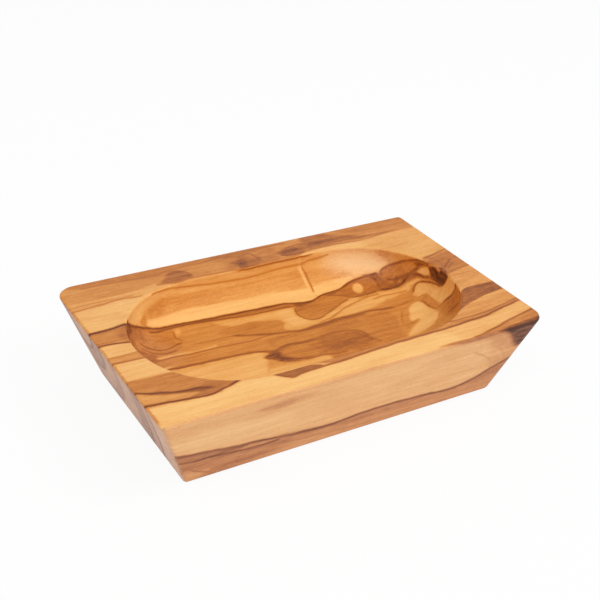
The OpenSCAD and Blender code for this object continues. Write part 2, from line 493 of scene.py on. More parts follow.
# Soft patches of the recess, drawn with its walls folded out flat
RECESS_PATCHES = [
    # near wall, out of the photograph's sight
    (0.24, 2, [-60,-8, -50,-4, -44,-2.4, -30,-3, -18,-4.5, -16,-8, -20,-16, -36,-34, -48,-28, -58,-16]),
    (0.4, 2, [-22,-17, 0,-18, 30,-17, 46,-20, 38,-34, 24,-37, -28,-37]),
    # far wall from the second line up to the rim
    (0.19, 0.5, SECOND_LEFT + SECOND_MIDDLE + SECOND_RIGHT + [52,22, 46,30, 36,36, 24,37, -10,37, -32,36,
        -41,33, -48,29, -54,22]),
    # pale wood of the upper left wall, made paler still as painted light against the shade of the steep wall
    (0.06, 1.2, [-63,16, -60,22, -51,33, -40,38, -30,39, -30,33, -38,31, -45,25.6, -48,20]),
    (0.22, 0.8, [-26,36, -22,32.6, -16,31.6, -3,31, 6,31.4, 17,31.4, 24,32.6, 32,33, 24,37, -24,37]),
    (0.55, 0.4, [-10,35, -4,34.4, 3,34.6, 6.5,33.9, 13,33.9, 18,35, 20,37, -12,37]),
    (0.35, 0.4, [-44.8,23.3] + AMBER_EDGE + [17.4,25, 16,27.4, 14.8,30.1, 10,29.6, 2.5,30.1, -10.4,29.9,
        -17.6,30.1, -24.6,30.5, -32,30.2, -36.8,29.6, -39,28.1, -42,26.6]),
    (0.42, 0.9, [-44.5,23.6, -42,26.4, -39,27.8, -35,28, -36,25, -39,24]),
    (0.44, 0.6, [-46.2,21, -44.6,23.4, -43,23, -42.9,21.5, -41.6,20.4, -44.2,19.7]),
    (0.31, 1.2, [17.8,29.5, 23.5,28.7, 29,26.7, 32.3,24.9, 33.5,23.3, 23.7,23.6, 18.5,23.5]),
    (0.05, 0.4, [-43.5,20.6] + AMBER_EDGE + [23.7,23.4, 29.6,23.4, 33.3,22.8, 33.6,21.2] +
        flip(SECOND_RIGHT[:8]) + flip(SECOND_MIDDLE)),
    # painted highlight on the right of the far wall
    (0.1, 1, [25,34, 34,33, 41,29, 47,22, 45,20, 41,22.3, 36.4,22, 34,24.6, 32,26.6, 29,28.6, 25,30]),
    (0, 1.5, [31.2,30.1, 35.4,30.5, 40.1,28.7, 43.7,25.1, 44.9,21.6, 42.6,20.5, 38.9,22.2, 35.1,24.5,
        32.2,27.1]),
    (0.36, 0.9, [46,27, 51,23, 56,17, 59,9, 55,15, 51.4,17.6, 47.8,19.6]),
    # left end of the floor and its wall
    (0.66, 0.7, [-58,14, -52,17.6, -45,18.7, -46,15, -46,11.4, -46,4.6, -60,3]),
    (0.58, 1, [-62,6, -52,6, -46,4.4, -41,3.4, -43,0, -48,-0.2, -60,-2]),
    (0.68, 1.2, [-60,18, -54,16.5, -51.4,14, -49.6,11, -48.2,8, -46.6,4.5, -50,0, -60,2]),
    (0.86, 0.5, [-60,12.5, -55,16.6, -52,17.6, -51.6,15.9, -54,13.1, -57,8, -60,6]),
    (0.52, 0.7, [-50,13.7, -47.8,14.4, -46.8,12.5, -47.8,10.7, -50.5,10.2, -51.3,11.3]),
    (0.53, 0.5, [-46.5,18.4, -40,18.8, -36,19.2, -34.1,18.5, -35.8,15.4, -36.7,13, -38.6,10.4, -43.7,10.8,
        -47.1,11.6, -46,16.2]),
    (0.57, 0.7, [-48,10.4, -43,9.6, -38,9.4, -35.6,11, -36.4,8.4, -42,8, -48,9.2]),
    (0.44, 0.6, [-34,18.8, -25,18.4, -19,17, -19,12, -22,8.6, -35.4,8.6, -34.8,12]),
    (0.31, 0.4, [-34.1,19, -32.4,18.6, -33.3,16, -34.9,14.9, -35,16.8]),
    (0.22, 0.3, [-45,6.4, -40.8,6.1, -34,5.5, -30.3,5.1, -26.2,5.6, -26.7,4.7, -30.7,4.3, -37.9,5,
        -45,5.5]),
    # floor between the second and third lines
    (0.52, 0.7, [-22,12, -19,13.2, -15,12.7, -10.5,13, -5.8,11.6, -1.2,10, -1.6,6, -4,3.8, -10,5, -16,7,
        -22,9.6]),
    (0.26, 0.6, [-21,17.8, -10,16.4, 0,15.8, 8,15, 8,8, 13,6.5, 13,4, 6,3, 0,3, -2.6,5, -0.8,8, -1.4,10.4,
        -6,12, -10.5,13.3, -15,13, -18,14]),
    (0.19, 1.2, [0,15, 5,14.5, 5,10, 6,6.5, 8,4.6, 2,4, 0.4,8]),
    (0.25, 0.4, [8,6.6, 18,9.6, 27,12.8, 34,12.4, 43,11, 47.5,9.2, 48.4,8, 47,7, 43.7,7.4, 40,6.7, 35.8,7.9,
        32,8.2, 26,7.4, 18,5, 11,3]),
    (0.23, 0.5, [13,4, 20,6.6, 26,8.2, 33,8.6, 38,7.2, 33,5, 25,3.9, 17,3.7]),
    # lens and swirl under the second line
    (0.55, 0.35, LENS_EDGE + flip(SWIRL_EDGE[:8]) + [16,16.4, 11,15]),
    (0.63, 0.8, [7.5,15.2, 6.6,12.6, 10,12.8, 16,14.4, 20,17, 15,15.8, 11,15.2]),
    (0.66, 0.4, SWIRL_EDGE + SWIRL_FOOT[2:8] + [46.5,12.4, 45,14.6, 43.6,17] + flip(SECOND_RIGHT)),
    (0.7, 0.6, [36,13.6, 38.6,14.2, 42.6,13.6, 45,13, 46.4,11, 43.5,11.3, 38.6,12.8]),
    (0.22, 0.4, [31.2,17.6, 32.6,19.3, 34.3,19.4, 35,18.1, 34.5,16.1, 32.5,14.2, 30.9,14.8]),
    # upper wall of the right end
    (0.59, 0.4, ARCH_TOP + [57.7,7.5] + flip(ARCH_FOOT)),
    (0.51, 0.7, [51,15.8, 54.6,13.6, 57,10, 54.6,11, 51,13]),
    (0.72, 0.6, [47,14.8, 49.1,13.4, 48.7,12.1, 46.5,12.1, 44.7,13.1]),
    (0.72, 0.4, [47.2,10.6, 49,12.6, 51.8,11.4, 53.6,10.6, 53.4,8.8, 55.2,5.7, 55,3.4, 52.8,7.7, 51.2,8.9,
        49,10]),
    (0.23, 0.5, [47.6,9.6, 51,8.9, 52.4,7.4, 53.8,4.6, 51.6,6.6, 49.6,7.6]),
    (0.82, 0.6, [55.4,12.6, 57.6,9.8, 58.8,7.4, 57.6,7, 56.6,9.2, 55,11]),
    (0.14, 0.35, [53.7,10.2, 55.5,9.4, 57,7.8, 57,6.2, 55.6,5.4, 54.4,6.8, 53.8,8.6]),
    # dark fill along the second line
    (0.68, 0.4, SECOND_MIDDLE[2:] + [14,15.8, 9,15.3, 5,16.2, -5,16.9, -14,17.7, -21,18.8, -28,19.6]),
    (0.86, 0.5, [7.4,17.8, 11,16.9, 15,16.6, 13,15.5, 9,14.9]),
    # third line and what lies below it
    (0.5, 0.8, [-46,4.6, -38,4.4, -28,3.8, -16,2.8, -6,2.2, -10,-3.4, -20,-2.2, -32,-1.2, -44,-0.8]),
    (0.58, 0.8, [-10,1.4, 2,1.4, 12,2.2, 22,2.4, 30,1.6, 34,-2, 30,-6, 21,-12, 18,-6, 12,-4, 0,-4.6,
        -10,-4.6]),
    (0.5, 0.9, [-8,0, 2,0.2, 8,-0.6, 6,-3, -4,-3.6, -10,-2.6]),
    (0.56, 1.2, [19,-2, 30,-1, 34,-3, 32,-9, 29,-15, 21,-16, 20,-8]),
    (0.47, 0.6, [24,2.6, 33.5,4.4, 40.4,5.6, 47,6, 47.6,3.7, 47.2,1.2, 44.5,2.7, 35,0.8, 28.7,0.2,
        22,-0.8]),
    (0.19, 0.4, LOW_LINE + [-14.6,-4.6, -14.2,-5.6, -16.8,-7.2, -16,-9, -19,-14.5, -20,-20, -36,-28,
        -48,-20]),
    (0.63, 0.35, [-16.6,-7.1, -14.6,-5.9] + BLOTCH_TOP + BLOTCH_RIGHT + [19.8,-11.7, 21.7,-13.3, 21.3,-14.4,
        18.3,-15, 12.5,-15.4, 9.4,-14.5, 5,-14.4, 1,-13.4, -4.2,-13.2, -9,-12.6, -13,-11, -15.6,-8.9]),
    (0.54, 0.6, [-9.8,-7, -6.7,-5.3, -3.4,-5.2, -0.8,-6.9, 0.5,-9.4, 0.2,-11.6, -3,-12.2, -6.8,-11,
        -9.2,-9.2]),
    (0.86, 0.5, [-16.4,-7.2, -14.3,-6.1, -11.2,-5.4, -10.7,-7.2, -12.8,-9.5, -15,-9.1]),
    (0.86, 0.5, [-13,-9, -11.5,-8.6, -9.3,-10.2, -6.8,-11.6, -2.4,-12.8, -5,-13.4, -9.5,-13, -13,-11.2]),
    (0.7, 0.9, [3,-4.6, 8,-4, 13,-4.2, 19,-8, 19.6,-12, 16,-14.2, 8,-14, 4,-12]),
    (0.77, 0.7, [13,-4.2, 17,-5.3, 19.1,-7.6, 19.2,-10.3, 21.4,-13.6, 19,-12.8, 17.4,-9, 15,-6]),
    (0.42, 0.9, [-16.1,-8.6, -13,-11.4, -9.2,-12.9, -5.6,-13, -8,-13.7, -17.4,-13.4, -19,-14.4]),
    (0.23, 0.4, [-18.5,-13.6, -8,-13.8, -1,-13.6, 1.6,-14.2, 2.4,-15, 1,-20, -19,-20]),
    (0.6, 0.9, [2.5,-14.8, 10,-15.8, 20,-16, 22,-20, 6,-20]),
    # right end of the floor and its wall
    (0.2, 0.4, GOLD_TOP + [56.5,-3.9, 60.5,-6] + CRESCENT_EDGE + [49.8,-6.5, 50.2,-3.7, 50.4,-0.1, 49.6,1.8,
        47.9,2.6, 47.2,3.9]),
    (0.48, 0.5, [47.2,1.2, 49.6,1.7, 50.4,-0.1, 50.4,-4, 50,-6.9, 48.9,-7.5, 47.7,-6.3, 47.4,-3.3]),
    (0.08, 0.5, [41.7,-0.7, 45,0.8, 46.7,0, 47,-2.1, 47.1,-5.4, 46.5,-7.6, 42,-8, 39,-8.6, 37.3,-8.2,
        37.7,-6.6, 39.8,-3.4]),
    (0.14, 0.5, [47,-5.4, 47.2,-8.6, 46,-10.8, 43.6,-12.6, 40.4,-14, 37.4,-15, 33.5,-15.8, 30.7,-15.5,
        34.2,-12.6, 37.2,-10.7, 39.8,-9, 41.4,-7.6]),
    (0.52, 0.4, [32.4,-12.4, 35.7,-10.8, 40.6,-8, 37.3,-8.7, 34.5,-9.8]),
    (0.44, 0.6, [26,-15.8, 34,-16.2, 40.6,-14.6, 44.4,-12.6, 47.2,-9.6, 47.6,-14, 44,-20, 26,-20]),
    (0.56, 0.5, [60.5,-10, 58,-17, 54.5,-22, 50,-20, 47.7,-15.4, 46.9,-13.6, 47.6,-10.6, 48.9,-7.6] +
        flip(CRESCENT_EDGE)),
    (0.61, 0.8, [57,-12.4, 53.8,-10.4, 51.6,-9.4, 50.2,-11, 49.6,-14, 51.4,-15.4, 54,-15.6, 56.4,-14.4]),
    (0.89, 0.35, [57.6,6.6, 58.6,5.6, 59.6,3.4, 58.9,2, 59.4,0.6, 61,1, 61.4,-1, 61,-3.4, 59.6,-4.6,
        58.1,-4.3, 56.3,-3.4, 54.9,-2.1, 55.2,1.3, 55.2,3.7, 56.2,4.7]),
]

# Where the walls of the recess lose colour, on the right of the far wall as a painted sheen: (loss of
# colour, softness, outline)
RECESS_PAINTED_SHEEN = [
    (0.15, 6, [27,31, 34,32, 40,30, 45,26, 48,21, 43,20, 36,23, 30,26]),
    (0.01, 3, [-62,18, -52,18, -44,18, -38,10, -38,2, -46,-1, -60,-2]),
]

# Crisp growth lines of the top face around the recess: (tone, half width, layer, points)
LAND_LINES = [
    (0.84, 0.5, 0, [-66,46.2, 0,45.4, 66,45]),
    (0.78, 0.5, 0, [-66,53, 0,53.6, 66,54]),
    (0.56, 0.4, 0, [-69,24, -59.5,24.6, -55,24.9, -52,25.4, -49,25.7, -45,25.2, -41,25]),
    (0.5, 0.3, 1, [-69,26.2, -60,26.7, -55,26.7, -49.6,26.3, -44,26.4]),
    (0.62, 0.35, 0, BACK_EDGE[2:]),
    (0.68, 0.4, 1, [-58.5,36.6, -48.5,36.2, -36.2,35.3, -31,35.7, -24.6,36.8, -16.6,37, -7.6,37.7, 1.4,38.2,
        16.7,38]),
    (0.8, 0.38, 1, [-8.4,32.7, -5.8,32.2, -5.4,30, -5.6,28]),
    (0.72, 0.35, 0, [-4.8,34.9, -1,36.1, 1.4,35.8, 2.2,31.8, 2.9,28.8]),
    (0.82, 0.4, 1, [9.6,31.6, 12,29.9, 15.7,29.6, 19.6,29.9]),
    (0.74, 0.35, 0, [10.6,32.4, 13.6,34.4, 18.4,35.4, 21.5,35.1, 21.8,31.9]),
    (1, 0.55, 0, [-69,10.3, -62,10.6, -58,10.9, -54,11.4, -50,11.8]),
    (0.92, 0.42, 0, [-69,3.2, -62,3.2, -58,2.5, -55.5,2.1, -52,2]),
    (0.66, 0.3, 1, [-69,4.8, -60,4.2, -52,4.4]),
    (0.52, 0.3, 0, [-69,-3.8, -60,-3.8, -52,-3.4]),
    (0.72, 0.35, 0, [-69,-6.8, -60,-7, -52,-7.4]),
    (0.92, 0.55, 0, [-69,-21.4, -65,-22.3] + LEFT_WEDGE),
    (0.92, 0.5, 1, [-69,-28.8, -64.4,-29, -58.9,-29.8, -52.2,-30.8, -48.2,-31.3, -44.5,-30.9, -41,-29.9,
        -38,-28.9, -34,-27.6]),
    (0.85, 0.45, 0, FRONT_RIM + [69,-26.2]),
    (0.72, 0.35, 1, RIGHT_LOW + [69,-24.8]),
    (0.8, 0.4, 0, RIGHT_STREAK + [69,-32.4]),
    (0.7, 0.35, 1, [27,-39.5, 34.9,-39.6, 41.4,-39.4, 46,-39.1, 50,-38.1]),
    (0.72, 0.35, 1, [53.8,9.4, 55.6,7.9, 56.3,5.6, 56,3, 54.9,0.2]),
    (0.74, 0.35, 0, [52.6,8.6, 57,9.8, 61.8,11.2, 66,12]),
    (0.8, 0.4, 0, [53.4,-0.9, 54.5,-0.1, 57.7,2.3, 60.3,4.4, 62.4,5]),
    (0.76, 0.3, 1, [55.6,-1, 56.4,-0.3, 59.6,2.1, 61,3]),
    (0.72, 0.45, 0, [50,-5, 53.4,-3.3, 58.1,-1.9, 62,-1.2, 69,-0.6]),
]

# Crisp growth lines of the recess
RECESS_LINES = [
    (0.48, 0.35, 0, [-42,30.4, -40.3,31.4, -36,32.4, -32,32.9, -26.6,32.7, -17.4,31.7, -10.2,31.3, -2.9,31,
        6.5,31.5, 14.1,31.6, 16.8,31.4, 20,32.2, 28.4,32.7]),
    (0.74, 0.38, 1, [-11,35.2, -4.1,33.9, 0.8,34.2, 9.6,34.1, 14.8,34, 19.9,34.3, 22,35.2]),
    # painted highlight and painted shadow along the two sides of the cutter's groove
    (0.02, 0.4, 1, [15.6,31.8, 15.9,30, 16.5,27.9, 16.9,25.7, 17,23.5, 16.8,21]),
    (0.6, 0.35, 0, [16.5,30.9, 17.4,28.8, 18,26.5, 18.1,24.2, 17.9,22, 17.6,20]),
    (0.92, 0.45, 0, SECOND_LEFT + SECOND_MIDDLE + SECOND_RIGHT),
    (0.84, 0.35, 1, [-43.8,18.3, -40.4,18.5, -37.9,19.1, -33.5,19.8, -28.8,19.8, -23,19.3, -14,17.8,
        -8,17.1, 0,16.6, 5,16.2, 9,15.2]),
    (0.76, 0.4, 0, [-49.6,13.2, -46.7,11.7, -43.7,10.3, -40.4,9.7, -36.8,10.8, -34.6,11.3]),
    (0.72, 0.4, 1, [-50,11.4, -47.1,9.7, -43.7,8.2, -41.9,7.6, -39.7,7.7, -37.4,8.5]),
    (0.66, 0.34, 1, [-34.8,18.6, -35.1,16.6, -35.7,14.6, -34.9,12.8, -34.4,11.4]),
    (0.62, 0.32, 0, [-32.3,8.8, -28.6,8.5, -25.8,8.3, -22.2,8.5, -19,8]),
    (0.7, 0.34, 0, [-48,4.6, -40.5,4.8, -35.6,4.3, -25.7,4, -15.9,3.1, -10.3,3.5, -6.9,3.4]),
    (0.8, 0.55, 1, [-20.1,8.4, -11.2,5.1, -6.7,3.8, -3,2.9, 1,2, 4,1.8, 7.1,2.2, 12.7,2.5, 15.7,3, 22.1,2.8,
        28.3,2.7, 33.6,1.8, 38,1.4]),
    (0.72, 0.6, 0, [2,1.2, 6,1.4, 12,1.6, 17,2.2, 22,2, 27,1.6]),
    (0.8, 0.6, 0, LOW_LINE + BLOTCH_TOP),
    (0.76, 0.38, 0, BLOTCH_TOP[-2:] + BLOTCH_RIGHT),
    (0.76, 0.4, 0, [-6,-12.9, -2,-13.2, 1,-13.4, 5,-14.4, 9.4,-14.6]),
    (0.74, 0.35, 1, LENS_EDGE),
    (0.55, 0.4, 0, [8.9,3.5, 14.3,4.4, 18,6.2, 21.9,7.9, 26.7,9.4, 33.9,11, 38,10.4]),
    (0.5, 0.35, 1, [33,8.6, 38,9.4, 43,8.6, 47,7.2]),
    (0.76, 0.45, 0, SWIRL_EDGE),
    (0.8, 0.4, 1, [36.4,21.2, 38.6,20.7, 40.1,18.7, 40.4,16.3, 39.8,13.6]),
    (0.78, 0.4, 1, [40.9,20, 42,17.6, 42,14.8, 42.6,12.6]),
    (0.88, 0.5, 0, SWIRL_FOOT),
    (0.8, 0.4, 0, ARCH_TOP),
    (0.83, 0.45, 1, ARCH_FOOT),
    (0.8, 0.4, 1, GOLD_TOP),
    (0.62, 0.4, 0, [33,1.6, 38,1.4, 42,2.2, 44.4,2.9]),
    (0.7, 0.4, 1, [47.2,1, 47.4,-3.3, 47.6,-6.3, 48.8,-7.6]),
    (0.6, 0.4, 0, [38.4,-1, 37.4,-2.6, 34.8,-6.3, 33.6,-9.5]),
    (0.88, 0.4, 0, CRESCENT_EDGE),
    (0.78, 0.4, 1, [59.4,-13, 55.6,-17.1, 52.5,-17.2, 50.2,-14.8, 47.8,-13.4]),
    (0.97, 0.5, 0, [57.2,5.6, 58.4,4.4, 58,2, 56.8,0.6, 56.6,-1.6, 55.6,-2.6]),
]

# Front face, along it and down it from the top edge at -40
FRONT_VEIN = [-59.2,-54.1, -53.3,-55.2, -46.2,-56.5, -39.4,-57.6, -33,-58.2, -24.7,-59.6, -15.6,-60.5,
    -8.6,-61, -2,-60.4, 3.8,-60, 12.9,-60, 19.8,-60.4, 26.8,-61, 34,-61.8, 39.2,-61.2, 44.9,-59.5,
    50.2,-56.7]
FRONT_PATCHES = [
    (0.2, 1.5, [-67,-41.5, 67,-41.5, 67,-72, -67,-72]),
    (0.13, 2.5, [-60,-47, -30,-47.5, -24,-55, -45,-54, -60,-51.6]),
    (0.27, 1.5, [-67,-41.2, -55,-41.8, -43,-42.6, -35,-43, -18,-43, -27,-46, -45,-45.6, -67,-44.6]),
    (0.42, 0.9, [-37,-43.2, -32,-42.9, -28.3,-42.3, -23.5,-42.4, -17,-43, -23.2,-43.9, -27.6,-45.4,
        -33.1,-45]),
    (0.46, 0.5, [-67,-52.6] + FRONT_VEIN + [67,-51, 67,-72, -67,-72]),
    (0.69, 0.6, [-67,-53] + FRONT_VEIN[:8] + [-36,-58.6, -42,-59.4, -48,-58.8, -58,-57.8, -67,-57]),
    (0.6, 1.5, [-67,-57, -58,-57.8, -51.8,-58.7, -39,-60, -22,-61, -30,-66, -67,-70]),
    (0.64, 0.7, [-26,-59, -14.6,-60.2, -5.9,-61, 15.7,-61.2, 24,-61.6, 16,-62.6, 3.5,-63, -5.4,-62.6,
        -14,-61.8, -22,-60.6]),
    (0.34, 3, [45,-43, 48.5,-42, 54.2,-47.2, 60,-50, 60,-56, 52.2,-56.7, 49.9,-57.4, 46.3,-53.3,
        45.1,-48.1]),
    (0.4, 2, [38,-40.4, 46,-40, 51.7,-43.8, 55.3,-48.7, 56,-52, 52,-50, 49,-47, 42.3,-42.4]),
    (0.52, 0.5, [24,-39, 27.6,-39.6, 33.9,-40.4, 38.6,-40.6, 48,-39.6, 48,-38, 24,-38]),
    (0.38, 0.9, [-58,-66, -54.4,-62.4, -49.8,-64, -47,-64, -50,-67, -56,-69]),
    (0.5, 1.2, FRONT_VEIN[26:] + [67,-50, 67,-70, 34,-70]),
    (0.6, 0.8, FRONT_VEIN[28:] + [67,-51, 67,-60, 50,-60.6, 44,-62]),
    (0.9, 1.2, [45,-38, 48.7,-40.7, 51.4,-43.3, 53,-46.1, 56,-49.2, 58.6,-48.4, 67,-44, 67,-38]),
]
FRONT_LINES = [
    (0.85, 0.52, 0, [-69,-52.2] + FRONT_VEIN + [69,-50]),
    (0.86, 0.45, 1, [-69,-56.6, -58.2,-57.7, -51.8,-58.6, -47.5,-58.8, -39,-60, -32,-60.6, -25,-60.4]),
    (0.64, 0.35, 0, [-60,-59, -57,-60, -53.8,-62, -50.5,-64.3, -46,-66.6]),
    (0.56, 0.35, 1, [-47.3,-60.8, -39.4,-61.4, -31.3,-62.4, -22.2,-63.2, -11.8,-64.4, -2,-65.4]),
    (0.5, 0.3, 0, [6,-63.6, 16,-64, 28,-64.4, 38,-65, 46,-65]),
    (0.4, 0.4, 1, [44,-44.5, 47.6,-46.6, 50.6,-49.4, 52.6,-52.6, 53.4,-55]),
    (0.38, 0.35, 0, [38,-46, 43,-49, 46.6,-52, 48.6,-55]),
]


def smooth_curve(points, closed):
    """Smooth curve through the points of a row."""
    p = np.array(points, float).reshape(-1, 2)
    n = len(p)
    at = (lambda i: p[i % n]) if closed else (lambda i: p[min(max(i, 0), n - 1)])
    curve = []
    for i in range(n if closed else n - 1):
        a, b, c, d = at(i - 1), at(i), at(i + 1), at(i + 2)
        for t in np.arange(CURVE_STEPS) / CURVE_STEPS:
            bend = 2 * a - 5 * b + 4 * c - d + t * (3 * b - 3 * c + d - a)
            curve.append(b + 0.5 * t * (c - a + t * bend))
    if not closed:
        curve.append(p[-1])
    return np.array(curve)


def on_segment(u, v, start, end):
    """How far along a segment its nearest place is, from 0 to 1, and the square of the distance to it."""
    dx, dy = end - start
    t = np.clip(((u - start[0]) * dx + (v - start[1]) * dy) / (dx * dx + dy * dy + TINY), 0, 1)
    return t, (u - start[0] - t * dx) ** 2 + (v - start[1] - t * dy) ** 2


def distance_inside(u, v, curve):
    """Distance to a closed curve, positive inside it."""
    nearest = np.full(u.shape, np.inf)
    inside = np.zeros(u.shape, bool)
    for start, end in zip(curve, np.roll(curve, -1, axis=0)):
        nearest = np.minimum(nearest, on_segment(u, v, start, end)[1])
        dx, dy = end - start
        if dy:
            inside ^= ((start[1] <= v) != (end[1] <= v)) & (u < start[0] + (v - start[1]) * dx / dy)
    return np.where(inside, 1, -1) * np.sqrt(nearest)


def distance_beside(u, v, curve):
    """Distance to an open curve, positive on its left, place of the nearest point on it, and its length."""
    nearest = np.full(u.shape, np.inf)
    side = np.ones(u.shape)
    place = np.zeros(u.shape)
    lengths = np.hypot(*np.diff(curve, axis=0).T)
    runs = np.concatenate([[0], np.cumsum(lengths)])
    for start, end, run, length in zip(curve, curve[1:], runs, lengths):
        t, square = on_segment(u, v, start, end)
        closer = square < nearest
        nearest = np.where(closer, square, nearest)
        dx, dy = end - start
        side = np.where(closer, np.where(dx * (v - start[1]) - dy * (u - start[0]) < 0, -1, 1), side)
        place = np.where(closer, run + t * length, place)
    return side * np.sqrt(nearest), place, runs[-1]


def ease(x):
    """Smooth step from 0 to 1."""
    x = np.clip(x, 0, 1)
    return x * x * (3 - 2 * x)


def within(u, v, curve, margin):
    """Which places lie in the box around a curve."""
    low, high = curve.min(0) - margin, curve.max(0) + margin
    return (u > low[0]) & (u < high[0]) & (v > low[1]) & (v < high[1])


def paint(u, v, patches, ground):
    """Tone of the soft patches, laid over each other in order."""
    tone = np.full(u.shape, ground)
    for value, soft, points in patches:
        curve = smooth_curve(points, True)
        near = within(u, v, curve, soft)
        cover = ease(0.5 + 0.5 * distance_inside(u[near], v[near], curve) / soft)
        tone[near] += (value - tone[near]) * cover
    return tone


def draw(u, v, tone, lines):
    """Tone with the growth lines drawn over it."""
    tone = tone.copy()
    for value, half, _, points in lines:
        curve = smooth_curve(points, False)
        near = within(u, v, curve, DRAWN_REACH * half)
        off = distance_beside(u[near], v[near], curve)[0] / half
        tone[near] += (value - tone[near]) * np.exp(-DRAWN_FALL * off * off)
    return tone


def line_layer(u, v, lines, layer):
    """(distance in half widths, tone, strength) of the nearest growth line of one layer."""
    row = np.zeros(u.shape + (3,))
    row[:, 0] = LINE_REACH
    for value, half, in_layer, points in lines:
        if in_layer != layer:
            continue
        curve = smooth_curve(points, False)
        near = np.flatnonzero(within(u, v, curve, LINE_REACH * half))
        beside, place, length = distance_beside(u[near], v[near], curve)
        off = beside / half
        taper = np.minimum(place, length - place) / (LINE_TAPER * half)
        strength = ease(taper) * (1 - ease((np.abs(off) - LINE_CORE) / (LINE_REACH - LINE_CORE)))
        closer = np.abs(off) < np.abs(row[near, 0])
        row[near[closer]] = np.stack([off, np.full(off.shape, value), strength], -1)[closer]
    return row


def end_columns(levels):
    """Tone across the figure at its two ends, from where it runs on through the faces out of the picture."""
    columns = []
    for u in (-END_COLUMN, END_COLUMN):
        along = np.full(levels.shape, u)
        columns.append(draw(along, levels, paint(along, levels, LAND_PATCHES, GROUND_TONE), LAND_LINES))
    return columns


def solid_tone(points):
    """Tone of the growth rings about the pith, for the ends, the back and the base."""
    x, y, z = points.T
    ring = np.hypot(y - PITH_Y, z - PITH_Z)
    across = np.sqrt(np.maximum(ring ** 2 - (HEIGHT - PITH_Z) ** 2, 0))
    wave = sum(rise * np.sin(x / run + start) for rise, run, start in RING_WAVES)
    wave = wave * (1 - np.minimum(np.abs(x) / END_COLUMN, 1) ** 2)
    behind = ease(0.5 + np.degrees(np.arctan2(y - PITH_Y, PITH_Z - z)) / BEHIND_BLEND_DEG)
    levels = np.arange(*RING_LEVELS)
    left, right = end_columns(levels)
    to_right = ease(0.5 + x / END_BLEND)
    tone = 0
    for part, level in ((1 - behind, PITH_Y - across + wave), (behind, PITH_Y + across + wave)):
        here = np.interp(level, levels, left) * (1 - to_right) + np.interp(level, levels, right) * to_right
        tone = tone + part * here
    return tone


def folded_out(points):
    """Places in the recess with its walls folded out flat, where the figure keeps its true length."""
    x, y, z = points.T
    foot = np.clip(x - SHIFT_ALONG, -RECESS_HALF_STRAIGHT, RECESS_HALF_STRAIGHT)
    off_x = x - SHIFT_ALONG - foot
    off_y = y - SHIFT_ACROSS
    off = np.hypot(off_x, off_y) + TINY
    flat = RECESS_R - COVE_R
    cove_z = FLOOR_Z + COVE_R
    turn = np.arctan2(np.maximum(off - flat, 0), np.maximum(cove_z - z, 0))
    run = np.minimum(off, flat) + COVE_R * turn + np.maximum(z - cove_z, 0)
    return SHIFT_ALONG + foot + off_x / off * run, SHIFT_ACROSS + off_y / off * run


def figure(points, ring_of, first_outline, outlines):
    """The wood's figure at each point of the skin: tone, two layers of growth lines and greyness."""
    x, y, z = points.T
    sizes = np.array(outlines)
    steps = np.diff(sizes, axis=0)
    down = np.concatenate([[0], np.cumsum(np.hypot(steps[:, 1], steps[:, 4]))])
    side = np.clip(ring_of - first_outline, 0, len(outlines) - 1)
    front_v = -(TOP_WIDTH / 2 - TOP_EDGE_R) - down[side]
    half_x, half_y, tight_r, soft_r, _ = sizes[side].T
    corner_r = np.where(is_tight(x, y), tight_r, soft_r)
    out_x = np.maximum(np.abs(x) - half_x + corner_r, 0)
    out_y = np.maximum(np.abs(y) - half_y + corner_r, 0)
    out = out_x ** 2 + out_y ** 2 + TINY
    front = np.where((y < 0) & (out_y > 0), out_y ** 2 / out, 0)
    end = np.where(out_x > 0, out_x ** 2 / out, 0)
    recess = ring_of < RIM_RING
    top_edge = (z > HEIGHT - TOP_EDGE_R) & (front < 0.5)
    land = ~recess & ((ring_of <= first_outline) | top_edge)
    base = ring_of == first_outline + len(outlines) - 1
    front[base] = 0
    rest = ~recess & ~land
    low = rest & (front > 0.5)
    recess_u, recess_v = folded_out(points[recess])

    tone = np.empty(len(points))
    tone[land] = paint(x[land], y[land], LAND_PATCHES, GROUND_TONE)
    tone[recess] = paint(recess_u, recess_v, RECESS_PATCHES, RECESS_TONE)
    front_tone = paint(x[rest], front_v[rest], FRONT_PATCHES, GROUND_TONE)
    rings = solid_tone(points[rest])
    # the ends darken towards a tone that is partly end grain and partly painted shade
    rings = rings + end[rest] * (1 - END_STRIPES) * (END_GRAIN_AND_SHADE_TONE - rings)
    tone[rest] = rings * (1 - front[rest]) + front_tone * front[rest]
    # painted shade on the upper edge of the sides, against the extra light on its rounding
    tone[rest] += EDGE_PAINTED_SHADE * ease((z[rest] - HEIGHT + 2 * TOP_EDGE_R) / TOP_EDGE_R)
    # 4 e (1 - e) is 1 midway round an upright corner and 0 on the faces beside it
    tone[rest] += CORNER_SHADE * 4 * end[rest] * (1 - end[rest])
    # the outermost ring and rounding of the top face turn darker, except along the front
    edge_darkening = (ring_of[land] >= first_outline) * ease((y[land] + TOP_WIDTH / 2 - DARK_EDGE_FROM) / DARK_EDGE_RUN)
    tone[land] += edge_darkening * np.maximum(EDGE_TONE - tone[land], 0)

    layers = []
    for layer in (0, 1):
        row = np.zeros((len(points), 3))
        row[:, 0] = LINE_REACH
        row[land] = line_layer(x[land], y[land], LAND_LINES, layer)
        row[recess] = line_layer(recess_u, recess_v, RECESS_LINES, layer)
        row[low] = line_layer(x[low], front_v[low], FRONT_LINES, layer)
        layers.append(row)

    grey = np.zeros(len(points))
    # the ends lose colour as end grain and as painted reflection and shade
    grey[rest] = front[rest] * FRONT_GREY + end[rest] * END_GREY_AND_SHEEN
    # painted sheen takes colour out of the recess walls
    grey[recess] = paint(recess_u, recess_v, RECESS_PAINTED_SHEEN, -RECESS_DEEPER)
    return tone, layers, grey


